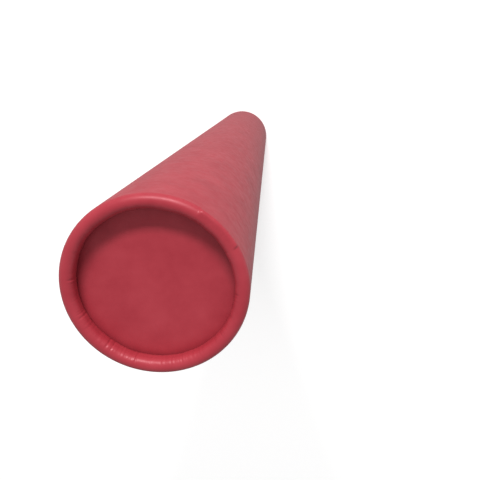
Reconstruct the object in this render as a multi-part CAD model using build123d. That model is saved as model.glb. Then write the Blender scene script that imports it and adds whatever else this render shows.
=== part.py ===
"""Cardboard mailing tube, standing on its open end with the closed end up.

A spiral-wound board wall carries a red cover paper outside and a white paper liner inside.
At the closed end the whole wall is rolled inwards and tucked under itself, which makes a
thick smooth rim. A flat board disc sits behind the rolled rim and closes the tube.

Units are millimetres. The tube's axis is Z, and the cut foot stands on z = 0.
"""
from build123d import *
import math
import os

os.makedirs("parts", exist_ok=True)

# Overall sizes
tube_radius = 25.0          # outside of the cover paper
tube_length = 400.0         # cut foot to the crest of the rolled rim

# The wall's three layers, from the outside in
cover_thickness = 0.15
board_thickness = 0.70
liner_thickness = 0.15
paper_setback = 0.10        # how far both papers' cut edges stand back from the board's foot

# The rolled rim at the closed end
rim_width = 4.0             # across the roll, from the tube's outside to the rim's opening
rim_depth = 5.0             # along the axis, from the crest to the underside of the roll
tuck_gap = 0.30             # between the tucked edge and the liner beside it

# The disc that closes the tube
disc_thickness = 1.5
disc_edge_round = 0.30
disc_seat_gap = 0.10        # between the underside of the roll and the disc's face

# Places worked out from the sizes above
board_depth = cover_thickness
liner_depth = cover_thickness + board_thickness
wall_thickness = cover_thickness + board_thickness + liner_thickness
bore_radius = tube_radius - wall_thickness
roll_radius = rim_width / 2
roll_centre_radius = tube_radius - roll_radius
crest_centre_height = tube_length - roll_radius
tuck_centre_height = tube_length - rim_depth + roll_radius
disc_face_height = tube_length - rim_depth - disc_seat_gap

# The tuck turns under, past straight down, until its outer corner is tuck_gap from the liner
tuck_reach = bore_radius - tuck_gap - roll_centre_radius
tuck_angle = 90 + math.degrees(math.asin(tuck_reach / roll_radius))


def on_roll(centre_height, radius, angle):
    """A point of the roll's section: angle 0 faces outwards, 90 up, 180 the axis, 270 down."""
    turn = math.radians(angle)
    return (
        roll_centre_radius + radius * math.cos(turn),
        centre_height + radius * math.sin(turn),
    )


def layer(outer_depth, inner_depth, foot_height):
    """One layer of the rolled wall, between two depths below the cover's outer face."""
    outer = roll_radius - outer_depth
    inner = roll_radius - inner_depth
    tuck_end = 180 + tuck_angle
    tuck_middle = 180 + tuck_angle / 2
    with BuildPart() as wall:
        with BuildSketch(Plane.XZ):
            with BuildLine():
                foot_outside = (tube_radius - outer_depth, foot_height)
                foot_inside = (tube_radius - inner_depth, foot_height)
                Line(foot_inside, foot_outside)
                Line(foot_outside, on_roll(crest_centre_height, outer, 0))
                ThreePointArc(*[on_roll(crest_centre_height, outer, a) for a in (0, 90, 180)])
                Line(
                    on_roll(crest_centre_height, outer, 180),
                    on_roll(tuck_centre_height, outer, 180),
                )
                ThreePointArc(
                    *[on_roll(tuck_centre_height, outer, a) for a in (180, tuck_middle, tuck_end)]
                )
                Line(
                    on_roll(tuck_centre_height, outer, tuck_end),
                    on_roll(tuck_centre_height, inner, tuck_end),
                )
                ThreePointArc(
                    *[on_roll(tuck_centre_height, inner, a) for a in (tuck_end, tuck_middle, 180)]
                )
                Line(
                    on_roll(tuck_centre_height, inner, 180),
                    on_roll(crest_centre_height, inner, 180),
                )
                ThreePointArc(*[on_roll(crest_centre_height, inner, a) for a in (180, 90, 0)])
                Line(on_roll(crest_centre_height, inner, 0), foot_inside)
            make_face()
        revolve(axis=Axis.Z)
    return wall.part


def end_disc():
    """The board disc, seated against the liner just behind the rolled rim."""
    with BuildPart() as disc:
        with Locations((0, 0, disc_face_height)):
            Cylinder(
                bore_radius,
                disc_thickness,
                align=(Align.CENTER, Align.CENTER, Align.MAX),
            )
        fillet(disc.edges().filter_by(GeomType.CIRCLE), disc_edge_round)
    return disc.part


nodes = {
    "cover_paper": layer(0, board_depth, paper_setback),
    "board_tube": layer(board_depth, liner_depth, 0),
    "liner_paper": layer(liner_depth, wall_thickness, paper_setback),
    "end_disc": end_disc(),
}

for name, solid in nodes.items():
    export_step(solid, f"parts/{name}.step")
    print(name, f"{solid.volume:.1f} mm3", f"{len(solid.solids())} solid")
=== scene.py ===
# %% [markdown]
# # A cardboard mailing tube
#
# A mailing tube is a wall of wound board with a red paper outside and a white paper inside.
# At one end the wall is rolled inwards into a fat smooth rim, and a flat red disc sits behind it.
# The tube stands on its cut open end, so the rolled rim is on top. The CAD model is loaded
# first. It fixes every size and place, and each piece below is modelled into its space.

# %% Load the frame
import bpy
import math
import random
from mathutils import Matrix, Vector, noise


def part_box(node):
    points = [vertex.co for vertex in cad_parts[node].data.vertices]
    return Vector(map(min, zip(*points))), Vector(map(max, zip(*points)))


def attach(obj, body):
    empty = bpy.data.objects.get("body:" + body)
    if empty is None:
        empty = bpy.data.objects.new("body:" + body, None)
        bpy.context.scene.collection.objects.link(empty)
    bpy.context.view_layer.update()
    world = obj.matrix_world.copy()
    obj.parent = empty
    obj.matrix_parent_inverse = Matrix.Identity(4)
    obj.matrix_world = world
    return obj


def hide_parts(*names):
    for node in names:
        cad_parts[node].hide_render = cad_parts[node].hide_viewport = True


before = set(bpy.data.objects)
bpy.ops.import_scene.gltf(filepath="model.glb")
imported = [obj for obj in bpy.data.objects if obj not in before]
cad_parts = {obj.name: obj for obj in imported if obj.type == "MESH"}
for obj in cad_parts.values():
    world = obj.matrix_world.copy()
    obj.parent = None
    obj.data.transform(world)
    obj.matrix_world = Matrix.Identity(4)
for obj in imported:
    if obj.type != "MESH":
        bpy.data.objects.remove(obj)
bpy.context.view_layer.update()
MM = 0.001
print("CAD nodes:", sorted(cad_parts))

# %% [markdown]
# ## Measuring the tube
#
# The outside radius, the length and the disc's height are read from the CAD nodes' boxes. The
# width of the rolled rim isn't a box size, so it is measured on the cover's own mesh: the vertex
# nearest the axis lies on the rim's opening.

# %% Sizes from the frame
cover_low, cover_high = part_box("cover_paper")
board_low, board_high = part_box("board_tube")
liner_low, liner_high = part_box("liner_paper")
disc_low, disc_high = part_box("end_disc")

TUBE_RADIUS = cover_high.x
TUBE_LENGTH = cover_high.z
COVER_THICKNESS = cover_high.x - board_high.x
BOARD_THICKNESS = board_high.x - liner_high.x
BORE_RADIUS = disc_high.x
LINER_THICKNESS = liner_high.x - BORE_RADIUS
cover_mesh = bpy.data.objects["cover_paper"].data
OPENING_RADIUS = min(v.co.xy.length for v in cover_mesh.vertices)
ROLL_RADIUS = (TUBE_RADIUS - OPENING_RADIUS) / 2
ROLL_CENTRE = TUBE_RADIUS - ROLL_RADIUS
CREST_HEIGHT = TUBE_LENGTH - ROLL_RADIUS
UNDERSIDE = min(v.co.z for v in cover_mesh.vertices if v.co.xy.length < ROLL_CENTRE)
TUCK_HEIGHT = UNDERSIDE + ROLL_RADIUS
print(f"tube {TUBE_RADIUS / MM:.2f} x {TUBE_LENGTH / MM:.1f} mm, roll radius {ROLL_RADIUS / MM:.2f}")

# %% [markdown]
# ## The camera
#
# The camera hangs close above the closed end and looks steeply down the tube, so that the far
# end shrinks with distance. Its place is given from the centre of the rim, in tube radii, and
# its aim by where its axis meets the plane of the rim.

# %% Camera
CAMERA_FROM_RIM = Vector((1.250, 1.939, 4.480)) * TUBE_RADIUS
AIM_FROM_RIM = Vector((0.918, 0.520, 0.0)) * TUBE_RADIUS
CAMERA_ROLL = math.radians(-2.29)
LENS_MM = 36.24

rim_centre = Vector((0, 0, TUBE_LENGTH))
camera_data = bpy.data.cameras.new("camera")
camera_data.lens = LENS_MM
camera_data.sensor_width = 36.0
camera_data.clip_start = 0.01
camera = bpy.data.objects.new("camera", camera_data)
bpy.context.collection.objects.link(camera)
forward = (AIM_FROM_RIM - CAMERA_FROM_RIM).normalized()
right = forward.cross(Vector((0, 1, 0))).normalized()
up = right.cross(forward)
rolled_right = right * math.cos(CAMERA_ROLL) + up * math.sin(CAMERA_ROLL)
rolled_up = up * math.cos(CAMERA_ROLL) - right * math.sin(CAMERA_ROLL)
camera.matrix_world = Matrix(
    (
        (rolled_right.x, rolled_up.x, -forward.x, rim_centre.x + CAMERA_FROM_RIM.x),
        (rolled_right.y, rolled_up.y, -forward.y, rim_centre.y + CAMERA_FROM_RIM.y),
        (rolled_right.z, rolled_up.z, -forward.z, rim_centre.z + CAMERA_FROM_RIM.z),
        (0, 0, 0, 1),
    )
)
bpy.context.scene.camera = camera
print("camera at", [round(c, 3) for c in camera.matrix_world.translation])

# %% [markdown]
# ## Turning a piece on a lathe
#
# Every piece of the tube is round, so each is one section turned about the axis. The section
# starts as a single point, made by merging a small plane, and is drawn by extruding from point
# to point. The chain is closed with an edge, spun once round, and its doubles are merged. A
# Screw modifier could do the same, but Spin leaves plain mesh that can be shaped by hand.

# %% The lathe
SIDES = 720


def turned(name, section, sides=SIDES):
    """A closed ring-shaped piece: the section is a loop of (radius, height) points."""
    bpy.ops.object.select_all(action="DESELECT")
    bpy.ops.mesh.primitive_plane_add(size=MM, location=(section[0][0], 0, section[0][1]))
    piece = bpy.context.object
    piece.name = name
    piece.data.name = name
    bpy.ops.object.transform_apply(location=True, rotation=True, scale=True)
    bpy.ops.object.mode_set(mode="EDIT")
    bpy.ops.mesh.select_all(action="SELECT")
    bpy.ops.mesh.merge(type="CENTER")
    for here, there in zip(section, section[1:]):
        step = (there[0] - here[0], 0, there[1] - here[1])
        bpy.ops.mesh.extrude_region_move(TRANSFORM_OT_translate={"value": step})
    bpy.ops.mesh.select_all(action="DESELECT")
    bpy.ops.object.mode_set(mode="OBJECT")
    for vertex in (piece.data.vertices[0], piece.data.vertices[-1]):
        vertex.select = True
    bpy.ops.object.mode_set(mode="EDIT")
    bpy.ops.mesh.edge_face_add()
    bpy.ops.mesh.select_all(action="SELECT")
    bpy.ops.mesh.spin(steps=sides, angle=math.tau, center=(0, 0, 0), axis=(0, 0, 1))
    bpy.ops.mesh.select_all(action="SELECT")
    bpy.ops.mesh.remove_doubles(threshold=0.001 * MM)
    bpy.ops.mesh.normals_make_consistent(inside=False)
    bpy.ops.object.mode_set(mode="OBJECT")
    bpy.ops.object.shade_smooth_by_angle(angle=math.radians(40))
    print(name, len(piece.data.vertices), "vertices", len(piece.data.polygons), "faces")
    return piece


def spread(start, end, count):
    """Evenly spaced values from start to end, both included."""
    return [start + (end - start) * k / count for k in range(count + 1)]


# %% [markdown]
# ## The section of a rolled layer
#
# The three layers of the wall share one path: up the wall, over the crest in a half circle, down
# the short inner leg, and under in the tuck. A layer is the strip between two depths below the
# red outside. The side that shows gets many points, and the side that is glued gets few.

# %% Section of one layer
TUCK_GAP = 0.30 * MM
TUCK_TURN = math.pi / 2 + math.asin((BORE_RADIUS - TUCK_GAP - ROLL_CENTRE) / ROLL_RADIUS)


def arc(height, radius, start, end, count):
    """Points on the roll's section, by angle: 0 faces outwards, a quarter turn is straight up."""
    return [
        (ROLL_CENTRE + radius * math.cos(a), height + radius * math.sin(a))
        for a in spread(start, end, count)
    ]


def path(depth, foot, wall, crest, leg, tuck):
    """One side of a layer, from the foot to the tucked edge, with so many steps on each stretch."""
    radius = ROLL_RADIUS - depth
    straight = [(TUBE_RADIUS - depth, z) for z in spread(foot, CREST_HEIGHT, wall)]
    over = arc(CREST_HEIGHT, radius, 0, math.pi, crest)
    down = [(OPENING_RADIUS + depth, z) for z in spread(CREST_HEIGHT, TUCK_HEIGHT, leg)]
    under = arc(TUCK_HEIGHT, radius, math.pi, math.pi + TUCK_TURN, tuck)
    return straight[:-1] + over[:-1] + down[:-1] + under


# %% [markdown]
# ## The red cover
#
# One sheet of red paper wraps the wall, runs over the rolled rim and ends in the tuck. It is
# turned with many points where the rim shows, because the paper there isn't smooth: it has to
# shrink from the tube's outside to the rim's opening, so it gathers in fine radial creases.

# %% Turn the cover
cover = turned(
    "red_cover",
    path(0, cover_low.z, wall=24, crest=28, leg=4, tuck=9)
    + path(COVER_THICKNESS, cover_low.z, wall=2, crest=6, leg=1, tuck=3)[::-1],
)

# %% [markdown]
# ## Creases and the lap on the rim
#
# The creases are moved into the mesh by a formula, as a sculptor's brush would press them in.
# Each is a shallow valley at its own angle round the rim. Most are small and placed by a seeded
# random draw, and a few long ones are listed one by one. On one stretch the cover's lap makes the
# roll double: its shoulder is squarer and its face is flat and finely crinkled.

# %% Shape the rim's paper
random.seed(7)
LONG_CREASES = (
    # angle round the rim, half width in degrees, depth in mm
    (173, 1.0, 0.16),
    (199, 0.8, 0.12),
    (202, 0.7, 0.10),
    (229, 0.9, 0.16),
    (233, 0.7, 0.12),
    (252, 0.8, 0.14),
    (286, 0.8, 0.08),
    (322, 0.9, 0.08),
)
SMALL_CREASES = [
    (random.uniform(0, 360), random.uniform(0.5, 1.1), random.uniform(0.015, 0.06))
    for _ in range(150)
]
LAP_START, LAP_END = 27.0, 56.0
LAP_SOFTNESS = 1.2
LAP_SQUARENESS = 3.0
LAP_CRINKLE = 0.05 * MM
SLOW_WAVES, SLOW_WAVE_HEIGHT = 3.0, 0.16 * MM
QUICK_WAVES, QUICK_WAVE_HEIGHT = 9.0, 0.10 * MM
FRONT_CRINKLE = 0.028 * MM
INNER_CRINKLE = 0.007 * MM


def smooth(low, high, value):
    """A soft step from 0 at low to 1 at high."""
    t = min(max((value - low) / (high - low), 0.0), 1.0)
    return t * t * (3 - 2 * t)


def window(low, high, soft, value):
    """1 between low and high, falling softly to 0 outside them."""
    return smooth(low - soft, low + soft, value) * (1 - smooth(high - soft, high + soft, value))


def crease_depth(angle, creases):
    """How deep the creases are at this angle, in metres."""
    depth = 0.0
    for centre, half_width, deep in creases:
        off = abs((angle - centre + 180) % 360 - 180) / half_width
        if off < 2:
            depth += deep * MM * math.exp(-2 * off * off)
    return depth


def crinkle(angle, turn, fine):
    """Fine crinkles that run across the roll, as seamless noise round the rim."""
    a = math.radians(angle)
    return noise.noise(Vector((math.cos(a) * fine, math.sin(a) * fine, turn)))


def around_rim(angle):
    """What holds for one angle round the rim: creases, lap and the two waves of the opening."""
    return (
        crease_depth(angle, LONG_CREASES),
        crease_depth(angle, SMALL_CREASES),
        window(LAP_START, LAP_END, LAP_SOFTNESS, angle),
        crinkle(angle, 0.3, SLOW_WAVES),
        crinkle(angle, 4.7, QUICK_WAVES),
    )


def lap_push(lap, turn, angle):
    """The squarer shoulder and the crinkled face of the lap, in metres."""
    power = 2 + LAP_SQUARENESS * lap
    c, s = math.cos(math.radians(turn)), math.sin(math.radians(turn))
    square = (abs(c) ** power + abs(s) ** power) ** (-1 / power) - 1
    face = window(52, 84, 8, turn) * lap
    return square * ROLL_RADIUS + LAP_CRINKLE * face * crinkle(angle * 1.6, turn / 9, 40.0)


def shape_rim(piece):
    """Press the creases, the wavy opening and the lap into the rolled part of a piece."""
    by_angle = {}
    for vertex in piece.data.vertices:
        x, y, z = vertex.co
        if z < CREST_HEIGHT and math.hypot(x, y) > ROLL_CENTRE:
            continue
        angle = round(math.degrees(math.atan2(y, x)) % 360, 3)
        if angle not in by_angle:
            by_angle[angle] = around_rim(angle)
        long_crease, small_crease, lap, slow_wave, quick_wave = by_angle[angle]
        outward = Vector((math.cos(math.radians(angle)), math.sin(math.radians(angle)), 0))
        centre_z = CREST_HEIGHT if z >= CREST_HEIGHT else min(z, TUCK_HEIGHT)
        turn = math.degrees(math.atan2(z - centre_z, math.hypot(x, y) - ROLL_CENTRE))
        if turn < -1:
            turn += 360
        inner = smooth(95, 150, turn)
        normal = outward * math.cos(math.radians(turn)) + Vector((0, 0, math.sin(math.radians(turn))))
        push = -long_crease * smooth(100, 135, turn) - small_crease * inner
        push += inner * (SLOW_WAVE_HEIGHT * slow_wave + QUICK_WAVE_HEIGHT * quick_wave)
        front = window(205, 312, 14, angle) * window(122, 158, 10, turn)
        crinkled = crinkle(angle, turn / 14, 46.0)
        push += (FRONT_CRINKLE * front + INNER_CRINKLE * inner) * crinkled
        if lap > 0 and turn < 90:
            push += lap_push(lap, turn, angle)
        vertex.co += normal * push


shape_rim(cover)
bpy.ops.object.select_all(action="DESELECT")
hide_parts("cover_paper")
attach(cover, "root")
print("creases on the rim:", len(LONG_CREASES) + len(SMALL_CREASES))

# %% [markdown]
# ## The board wall and the white liner
#
# The board under the red paper follows the same path, and gets the same creases where it is
# rolled, so that the paper lies on it everywhere. The liner is the innermost paper. Both end at
# the open foot, where the tube was cut off with a rotary knife.

# %% Turn the board and the liner
BOARD_DEPTH = COVER_THICKNESS
LINER_DEPTH = BOARD_DEPTH + BOARD_THICKNESS
WALL_DEPTH = LINER_DEPTH + LINER_THICKNESS
board = turned(
    "wound_board",
    path(BOARD_DEPTH, board_low.z, wall=10, crest=12, leg=2, tuck=6)
    + path(LINER_DEPTH, board_low.z, wall=10, crest=6, leg=1, tuck=3)[::-1],
)
shape_rim(board)
liner = turned(
    "white_liner",
    path(LINER_DEPTH, liner_low.z, wall=4, crest=6, leg=1, tuck=3)
    + path(WALL_DEPTH, liner_low.z, wall=16, crest=6, leg=1, tuck=3)[::-1],
    sides=SIDES // 2,
)
bpy.ops.object.select_all(action="DESELECT")
for piece, node_name, slot_name in (
    (board, "board_tube", "board"),
    (liner, "liner_paper", "liner_paper"),
):
    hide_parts(node_name)
    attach(piece, "root")

# %% [markdown]
# ## The end disc
#
# The disc is a flat round of board faced with the same red paper, which rounds down softly into
# the gap at the rim. It could be a cylinder with a bevelled edge, but it is turned like the
# other pieces, so that the soft margin is a quarter of an ellipse and not a plain bevel.

# %% The end disc
DISC_MARGIN = 4.2 * MM
DISC_DROP = 0.75 * MM
DISC_SIDES = 240
POLE_RADIUS = 0.01 * MM


def disc_section():
    """From the axis along the face, down its soft margin, and back along the flat underside."""
    low, high = disc_low.z, disc_high.z
    flat = BORE_RADIUS - DISC_MARGIN
    face = [(r, high) for r in spread(POLE_RADIUS, flat, 24)]
    margin = [
        (flat + DISC_MARGIN * math.sin(a), high - DISC_DROP * (1 - math.cos(a)))
        for a in spread(0, math.pi / 2, 12)
    ]
    back = [(r, low) for r in spread(BORE_RADIUS, POLE_RADIUS, 6)]
    return face[:-1] + margin + back


disc = turned("red_disc", disc_section(), sides=DISC_SIDES)
bpy.ops.object.select_all(action="DESELECT")
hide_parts("end_disc")
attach(disc, "root")

# %% [markdown]
# ## Paper materials
#
# Pasted red paper is satin: it has a soft highlight, a pale haze at a grazing look, a fine tooth
# and a little cloudiness. All of it is made from noise on Object coordinates, so it stays put on
# the piece. The creases are in the mesh, and only what is finer than them is bump.

# %% Material helpers


def new_material(name):
    """An empty node material with its Principled shader."""
    material = bpy.data.materials.new(name)
    material.use_nodes = True
    nodes, links = material.node_tree.nodes, material.node_tree.links
    return material, nodes, links, nodes["Principled BSDF"]


def noise_node(nodes, links, source, scale, detail=3.0, roughness=0.55):
    """A noise texture that reads the given coordinates."""
    texture = nodes.new("ShaderNodeTexNoise")
    texture.inputs["Scale"].default_value = scale
    texture.inputs["Detail"].default_value = detail
    texture.inputs["Roughness"].default_value = roughness
    links.new(source, texture.inputs["Vector"])
    return texture.outputs["Fac"]


def ramp(nodes, links, source, stops):
    """A colour ramp with the given (position, colour) stops."""
    node = nodes.new("ShaderNodeValToRGB")
    elements = node.color_ramp.elements
    for element, (position, colour) in zip(elements, stops):
        element.position, element.color = position, (*colour, 1)
    for position, colour in stops[2:]:
        elements.new(position).color = (*colour, 1)
    links.new(source, node.inputs["Fac"])
    return node.outputs["Color"]


def to_range(nodes, links, source, low, high, from_low=0.3, from_high=0.7):
    """Maps a noise value to a range."""
    node = nodes.new("ShaderNodeMapRange")
    node.inputs["From Min"].default_value = from_low
    node.inputs["From Max"].default_value = from_high
    node.inputs["To Min"].default_value = low
    node.inputs["To Max"].default_value = high
    links.new(source, node.inputs["Value"])
    return node.outputs["Result"]


def bump(nodes, links, heights):
    """Stacks (height, strength, distance) bumps and returns the last normal."""
    normal = None
    for height, strength, distance in heights:
        node = nodes.new("ShaderNodeBump")
        node.inputs["Strength"].default_value = strength
        node.inputs["Distance"].default_value = distance
        links.new(height, node.inputs["Height"])
        if normal:
            links.new(normal, node.inputs["Normal"])
        normal = node.outputs["Normal"]
    return normal


# %% Red paper
PAPER_DEEP = (0.315, 0.024, 0.037)
PAPER_RED = (0.345, 0.030, 0.044)
PAPER_LIGHT = (0.372, 0.037, 0.052)


def red_paper(name, rough_low, rough_high, tooth):
    """Satin red paper: cloudy colour, uneven gloss and a fine tooth."""
    material, nodes, links, shader = new_material(name)
    where = nodes.new("ShaderNodeTexCoord").outputs["Object"]
    clouds = noise_node(nodes, links, where, 110, detail=4)
    colour = ramp(
        nodes, links, clouds, [(0.30, PAPER_DEEP), (0.72, PAPER_LIGHT), (0.50, PAPER_RED)]
    )
    links.new(colour, shader.inputs["Base Color"])
    gloss = noise_node(nodes, links, where, 420, detail=3)
    links.new(to_range(nodes, links, gloss, rough_low, rough_high), shader.inputs["Roughness"])
    fibre = noise_node(nodes, links, where, 3800, detail=2)
    wave = noise_node(nodes, links, where, 60, detail=2)
    shader.inputs["IOR"].default_value = 1.47
    shader.inputs["Specular Tint"].default_value = (1.0, 0.62, 0.66, 1)
    normal = bump(nodes, links, [(wave, 0.25, 0.4 * MM), (fibre, tooth, 0.05 * MM)])
    links.new(normal, shader.inputs["Normal"])
    return material


cover_material = red_paper("red_cover_paper", 0.36, 0.48, 0.30)
disc_material = red_paper("red_disc_paper", 0.46, 0.60, 0.45)
cover.data.materials.append(cover_material)
disc.data.materials.append(disc_material)
print("red papers:", cover_material.name, "and", disc_material.name)

# %% [markdown]
# ## Board and liner materials
#
# The board shows only at the cut foot: grey-brown and matte, with a coarse grain. The liner is
# plain white paper. Both could share the red paper's recipe, but they are duller and rougher,
# so each has a simple noise of its own.

# %% Board and white liner


def wound_board():
    """Grey-brown board with a matte, uneven grain."""
    material, nodes, links, shader = new_material("wound_board")
    where = nodes.new("ShaderNodeTexCoord").outputs["Object"]
    grain = noise_node(nodes, links, where, 1500, detail=4)
    colour = ramp(nodes, links, grain, [(0.25, (0.20, 0.13, 0.09)), (0.75, (0.42, 0.30, 0.21))])
    links.new(colour, shader.inputs["Base Color"])
    shader.inputs["Roughness"].default_value = 0.85
    links.new(bump(nodes, links, [(grain, 0.5, 0.08 * MM)]), shader.inputs["Normal"])
    return material


def white_liner():
    """Matte white lining paper with a faint tooth."""
    material, nodes, links, shader = new_material("white_liner_paper")
    where = nodes.new("ShaderNodeTexCoord").outputs["Object"]
    clouds = noise_node(nodes, links, where, 160, detail=4)
    colour = ramp(nodes, links, clouds, [(0.25, (0.72, 0.72, 0.70)), (0.75, (0.84, 0.84, 0.82))])
    links.new(colour, shader.inputs["Base Color"])
    shader.inputs["Roughness"].default_value = 0.62
    fibre = noise_node(nodes, links, where, 3000, detail=2)
    links.new(bump(nodes, links, [(fibre, 0.3, 0.04 * MM)]), shader.inputs["Normal"])
    return material


board.data.materials.append(wound_board())
liner.data.materials.append(white_liner())
print("board and liner materials made")

# %% [markdown]
# ## Floor
#
# The tube stands on a plain pale floor. It glows a little, as a lit table does, so that it stays
# almost white where the tube's shadow falls.

# %% Floor
bpy.ops.object.select_all(action="DESELECT")
bpy.ops.mesh.primitive_plane_add(size=8, location=(0, 0, 0))
floor = bpy.context.object
floor.name = "floor"
floor_material, floor_nodes, floor_links, floor_shader = new_material("pale_floor")
floor_shader.inputs["Base Color"].default_value = (0.86, 0.86, 0.86, 1)
floor_shader.inputs["Roughness"].default_value = 0.9
floor_shader.inputs["Emission Color"].default_value = (1, 1, 1, 1)
floor_shader.inputs["Emission Strength"].default_value = 0.25
floor.data.materials.append(floor_material)

# %% [markdown]
# ## Light
#
# The studio is evenly pale, with one wide softbox at the tube's +Y side, a third of the way up,
# so that the rolled rim throws a crescent of shadow on the disc and catches a narrow highlight.
# The floor is hidden from reflections: the paper mirrors the dimmer surround below the horizon
# instead, which keeps the pale haze on the tube's side as weak as it is on real paper.

# %% Lights
SKY_STRENGTH = 0.55
BELOW_STRENGTH = 0.45
KEY_TURN = math.radians(90)
KEY_LIFT = math.radians(33)
KEY_DISTANCE = 2.0
KEY_WIDTH = 1.0
KEY_HEIGHT = 0.3
KEY_POWER = 48


def studio_surround():
    """An even pale studio, with a strength of its own below the horizon."""
    world = bpy.data.worlds.new("studio")
    world.use_nodes = True
    nodes, links = world.node_tree.nodes, world.node_tree.links
    above = nodes["Background"]
    below = nodes.new("ShaderNodeBackground")
    mix = nodes.new("ShaderNodeMixShader")
    look = nodes.new("ShaderNodeTexCoord")
    axes = nodes.new("ShaderNodeSeparateXYZ")
    is_above = nodes.new("ShaderNodeMath")
    is_above.operation = "GREATER_THAN"
    is_above.inputs[1].default_value = 0
    links.new(look.outputs["Generated"], axes.inputs["Vector"])
    links.new(axes.outputs["Z"], is_above.inputs[0])
    links.new(is_above.outputs["Value"], mix.inputs["Fac"])
    links.new(below.outputs["Background"], mix.inputs[1])
    links.new(above.outputs["Background"], mix.inputs[2])
    links.new(mix.outputs["Shader"], nodes["World Output"].inputs["Surface"])
    above.inputs["Color"].default_value = (1, 1, 1, 1)
    below.inputs["Color"].default_value = (1, 1, 1, 1)
    above.inputs["Strength"].default_value = SKY_STRENGTH
    below.inputs["Strength"].default_value = BELOW_STRENGTH
    bpy.context.scene.world = world


studio_surround()
floor.visible_glossy = False


key_data = bpy.data.lights.new("key", "AREA")
key_data.shape = "RECTANGLE"
key_data.size = KEY_WIDTH
key_data.size_y = KEY_HEIGHT
key_data.energy = KEY_POWER
key = bpy.data.objects.new("key", key_data)
bpy.context.collection.objects.link(key)
towards_key = Vector(
    (
        math.cos(KEY_TURN) * math.cos(KEY_LIFT),
        math.sin(KEY_TURN) * math.cos(KEY_LIFT),
        math.sin(KEY_LIFT),
    )
)
key.location = rim_centre + towards_key * KEY_DISTANCE
key.rotation_mode = "QUATERNION"
key.rotation_quaternion = (-towards_key).to_track_quat("-Z", "Y")
bpy.context.scene.view_settings.view_transform = "Standard"
print("softbox at", [round(c, 2) for c in key.location])
